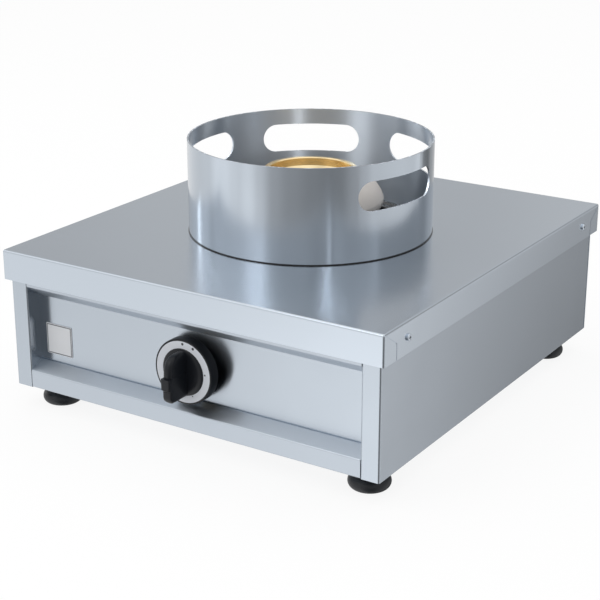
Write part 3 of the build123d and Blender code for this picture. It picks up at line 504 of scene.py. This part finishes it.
def make_dial_marks():
    low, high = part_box("dial_ring")
    centre = (low + high) / 2
    ink = plain_surface("dial_ink", (0.02, 0.022, 0.028), 0.4, bump=0.03)
    shapes = bmesh.new()
    for turn, circle, radius in dial_marks:
        x = centre.x + circle * sin(radians(turn))
        z = centre.z + circle * cos(radians(turn))
        skin(shapes, [[shapes.verts.new((x + radius * cos(tau * step / mark_sides), y,
                                         z + radius * sin(tau * step / mark_sides)))
                       for step in range(mark_sides)]
                      for y in (low.y - mark_height, low.y + mark_height)])
    new_piece("dial_marks", shapes, ink, "knob")


def make_badge_border():
    low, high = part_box("badge_plate")
    ink = plain_surface("badge_edge", (0.17, 0.18, 0.2), 0.4, bump=0.03)
    shapes = bmesh.new()

    def loop(inset, y):
        left, right = low.x + inset, high.x - inset
        bottom, top = low.z + inset, high.z - inset
        return [shapes.verts.new((x, y, z))
                for x, z in ((left, bottom), (right, bottom), (right, top), (left, top))]

    front, back = low.y - mark_height, low.y + mark_height
    inner = badge_inset + badge_line
    loops = [loop(badge_inset, front), loop(inner, front), loop(inner, back), loop(badge_inset, back)]
    for near, far in zip(loops, loops[1:] + loops[:1]):
        band(shapes, near, far)
    new_piece("badge_border", shapes, ink, "housing")


# --- studio -------------------------------------------------------------------------------------
floor_size = 12.0
floor_colour = 0.8
floor_glow = 0.84           # share of the floor's white that no shadow reaches
floor_white = 1.05          # brightness of that share for the camera
# What reflections show in place of the floor and the walls, fitted to one view of the range. Each row
# has the height of a direction, from -1 to 1, and (turn from the front in degrees, brightness) there.
near_floor = -0.42, (
    (-180.0, 0.42), (-120.0, 0.80), (-66.0, 0.90), (-45.0, 1.10), (-38.0, 1.14), (-31.0, 1.60),
    (-24.0, 1.60), (-16.0, 1.20), (-2.0, 0.46), (14.0, 0.22), (36.0, 0.06), (56.0, 0.08), (92.0, 0.60),
    (124.0, 0.72), (141.0, 0.86), (149.0, 1.02), (152.5, 0.88), (155.5, 0.20), (158.0, 0.0),
    (166.0, 0.0), (174.0, 0.03), (180.0, 0.42),
)
far_floor = -0.27, (
    (-180.0, 0.42), (-160.0, 0.60), (-138.0, 0.85), (-118.0, 0.90), (-92.0, 0.84), (-77.0, 0.90),
    (-63.0, 1.16), (-52.0, 1.14), (-43.0, 1.00), (-36.0, 0.93), (-27.0, 0.92), (-16.0, 0.68),
    (-3.0, 0.50), (14.0, 0.42), (34.0, 0.36), (46.0, 0.28), (58.0, 0.33), (72.0, 0.50), (82.0, 0.68),
    (92.0, 0.86), (124.0, 0.92), (141.0, 0.86), (151.0, 1.02), (155.5, 0.80), (159.0, 0.30),
    (170.0, 0.20), (180.0, 0.42),
)
walls = 0.30, (
    (-180.0, 0.64), (-158.0, 0.66), (-154.0, 0.56), (-142.0, 0.60), (-137.0, 0.53), (-122.0, 0.72),
    (-104.0, 0.88), (-82.0, 1.00), (-70.0, 0.64), (-54.0, 0.66), (-38.0, 0.72), (-16.0, 0.98),
    (-2.0, 0.66), (8.0, 0.60), (24.0, 0.58), (40.0, 0.48), (56.0, 0.40), (69.0, 0.32), (84.0, 0.35),
    (100.0, 0.46), (138.0, 0.42), (160.0, 0.42), (180.0, 0.64),
)
ceiling = 0.70              # brightness straight overhead
ceiling_start = 0.45        # heights of a direction between which the walls turn into the ceiling
ceiling_end = 0.8
lamp_target = Vector((0.0, 0.0, 0.15))
lamps = (                   # name, turn from the front, height, distance, width, tallness, watts
    ("key_left", -40.0, 2.2, 2.2, 3.2, 2.4, 12.0),
    ("fill_right", 75.0, 2.0, 2.6, 2.4, 2.0, 6.0),
    ("top", 180.0, 2.6, 0.6, 3.0, 3.0, 14.0),
    ("front_box", -24.0, 2.05, 2.0, 0.9, 0.5, 3.0),
    ("strip_left", -92.5, 1.05, 2.4, 0.22, 1.3, 1.7),
    ("strip_front", 48.5, 1.05, 2.4, 0.12, 1.3, 0.36),
)
ring_lamps = (              # the same, for the stripes on the ring's inner face: they light the ring alone
    ("stripe_middle", -27.0, 2.6, 2.2, 1.0, 1.6, 40.0),
    ("stripe_left", 45.5, 2.5, 2.2, 0.22, 1.6, 24.0),
    ("stripe_right", -84.0, 2.5, 2.2, 0.30, 1.6, 20.0),
)


def room_tone(tree, turn, stops):
    """Brightness of a row by the turn of a direction from the front."""
    made = add_node(tree, "ShaderNodeValToRGB", {"Fac": rescale(tree, turn, 0.0, 1.0, -pi, pi)})
    made.color_ramp.interpolation = "EASE"
    points = made.color_ramp.elements
    while len(points) < len(stops):
        points.new(0.5)
    for point, (degrees, tone) in zip(points, stops):
        point.position = (degrees + 180.0) / 360.0
        point.color = grey(tone)
    return made.outputs["Color"]


def make_floor():
    """White floor that takes the shadow. Reflections don't show it, but the world in its place."""
    shapes = bmesh.new()
    bmesh.ops.create_grid(shapes, x_segments=1, y_segments=1, size=floor_size / 2)
    material, tree, surface = new_material("floor")
    tree.nodes.remove(surface)
    matte = add_node(tree, "ShaderNodeBsdfDiffuse", {"Color": grey(floor_colour)})
    glow = add_node(tree, "ShaderNodeEmission", {"Color": grey(1.0), "Strength": floor_white})
    path = add_node(tree, "ShaderNodeLightPath")
    share = calculate(tree, "MULTIPLY", path.outputs["Is Camera Ray"], floor_glow)
    mixed = add_node(tree, "ShaderNodeMixShader", {0: share, 1: matte.outputs[0], 2: glow.outputs[0]})
    tree.links.new(mixed.outputs[0], tree.nodes["Material Output"].inputs["Surface"])
    floor = new_object("floor", shapes, material)
    floor.visible_glossy = False


def make_world():
    """White for the camera, and for all other rays a room whose tone changes with the direction."""
    world = bpy.data.worlds.new("studio")
    bpy.context.scene.world = world
    world.use_nodes = True
    tree = world.node_tree
    background = tree.nodes["Background"]
    direction = add_node(tree, "ShaderNodeTexCoord").outputs["Generated"]
    parts = add_node(tree, "ShaderNodeSeparateXYZ", {0: direction})
    back = calculate(tree, "MULTIPLY", parts.outputs["Y"], -1.0)
    turn = calculate(tree, "ARCTAN2", parts.outputs["X"], back)
    height = parts.outputs["Z"]
    start, stops = near_floor
    seen = room_tone(tree, turn, stops)
    for end, stops in (far_floor, walls):
        share = rescale(tree, height, 0.0, 1.0, start, end)
        seen = blend(tree, share, seen, room_tone(tree, turn, stops))
        start = end
    share = rescale(tree, height, 0.0, 1.0, ceiling_start, ceiling_end)
    seen = blend(tree, share, seen, grey(ceiling))
    path = add_node(tree, "ShaderNodeLightPath")
    tree.links.new(blend(tree, path.outputs["Is Camera Ray"], seen, grey(1.0)), background.inputs["Color"])
    background.inputs["Strength"].default_value = 1.0


def make_lamps(rows, lit=None):
    """Soft boxes round the range; lit is the collection that they light, or None for everything."""
    for name, turn, height, distance, width, tall, watts in rows:
        data = bpy.data.lights.new(name, "AREA")
        data.shape = "RECTANGLE"
        data.size = width
        data.size_y = tall
        data.energy = watts
        lamp = bpy.data.objects.new(name, data)
        lamp.location = (distance * sin(radians(turn)), -distance * cos(radians(turn)), height)
        aim = lamp_target - lamp.location
        lamp.rotation_euler = aim.to_track_quat("-Z", "Y").to_euler()
        if lit:
            lamp.light_linking.receiver_collection = lit
        bpy.context.scene.collection.objects.link(lamp)


make_camera()
finish_cad_nodes()
make_knob()
make_dial_marks()
make_badge_border()
make_floor()
make_world()
make_lamps(lamps)
ring_only = bpy.data.collections.new("ring_only")
ring_only.objects.link(nodes["wok_ring"])
make_lamps(ring_lamps, ring_only)
bpy.context.scene.view_settings.view_transform = "Standard"
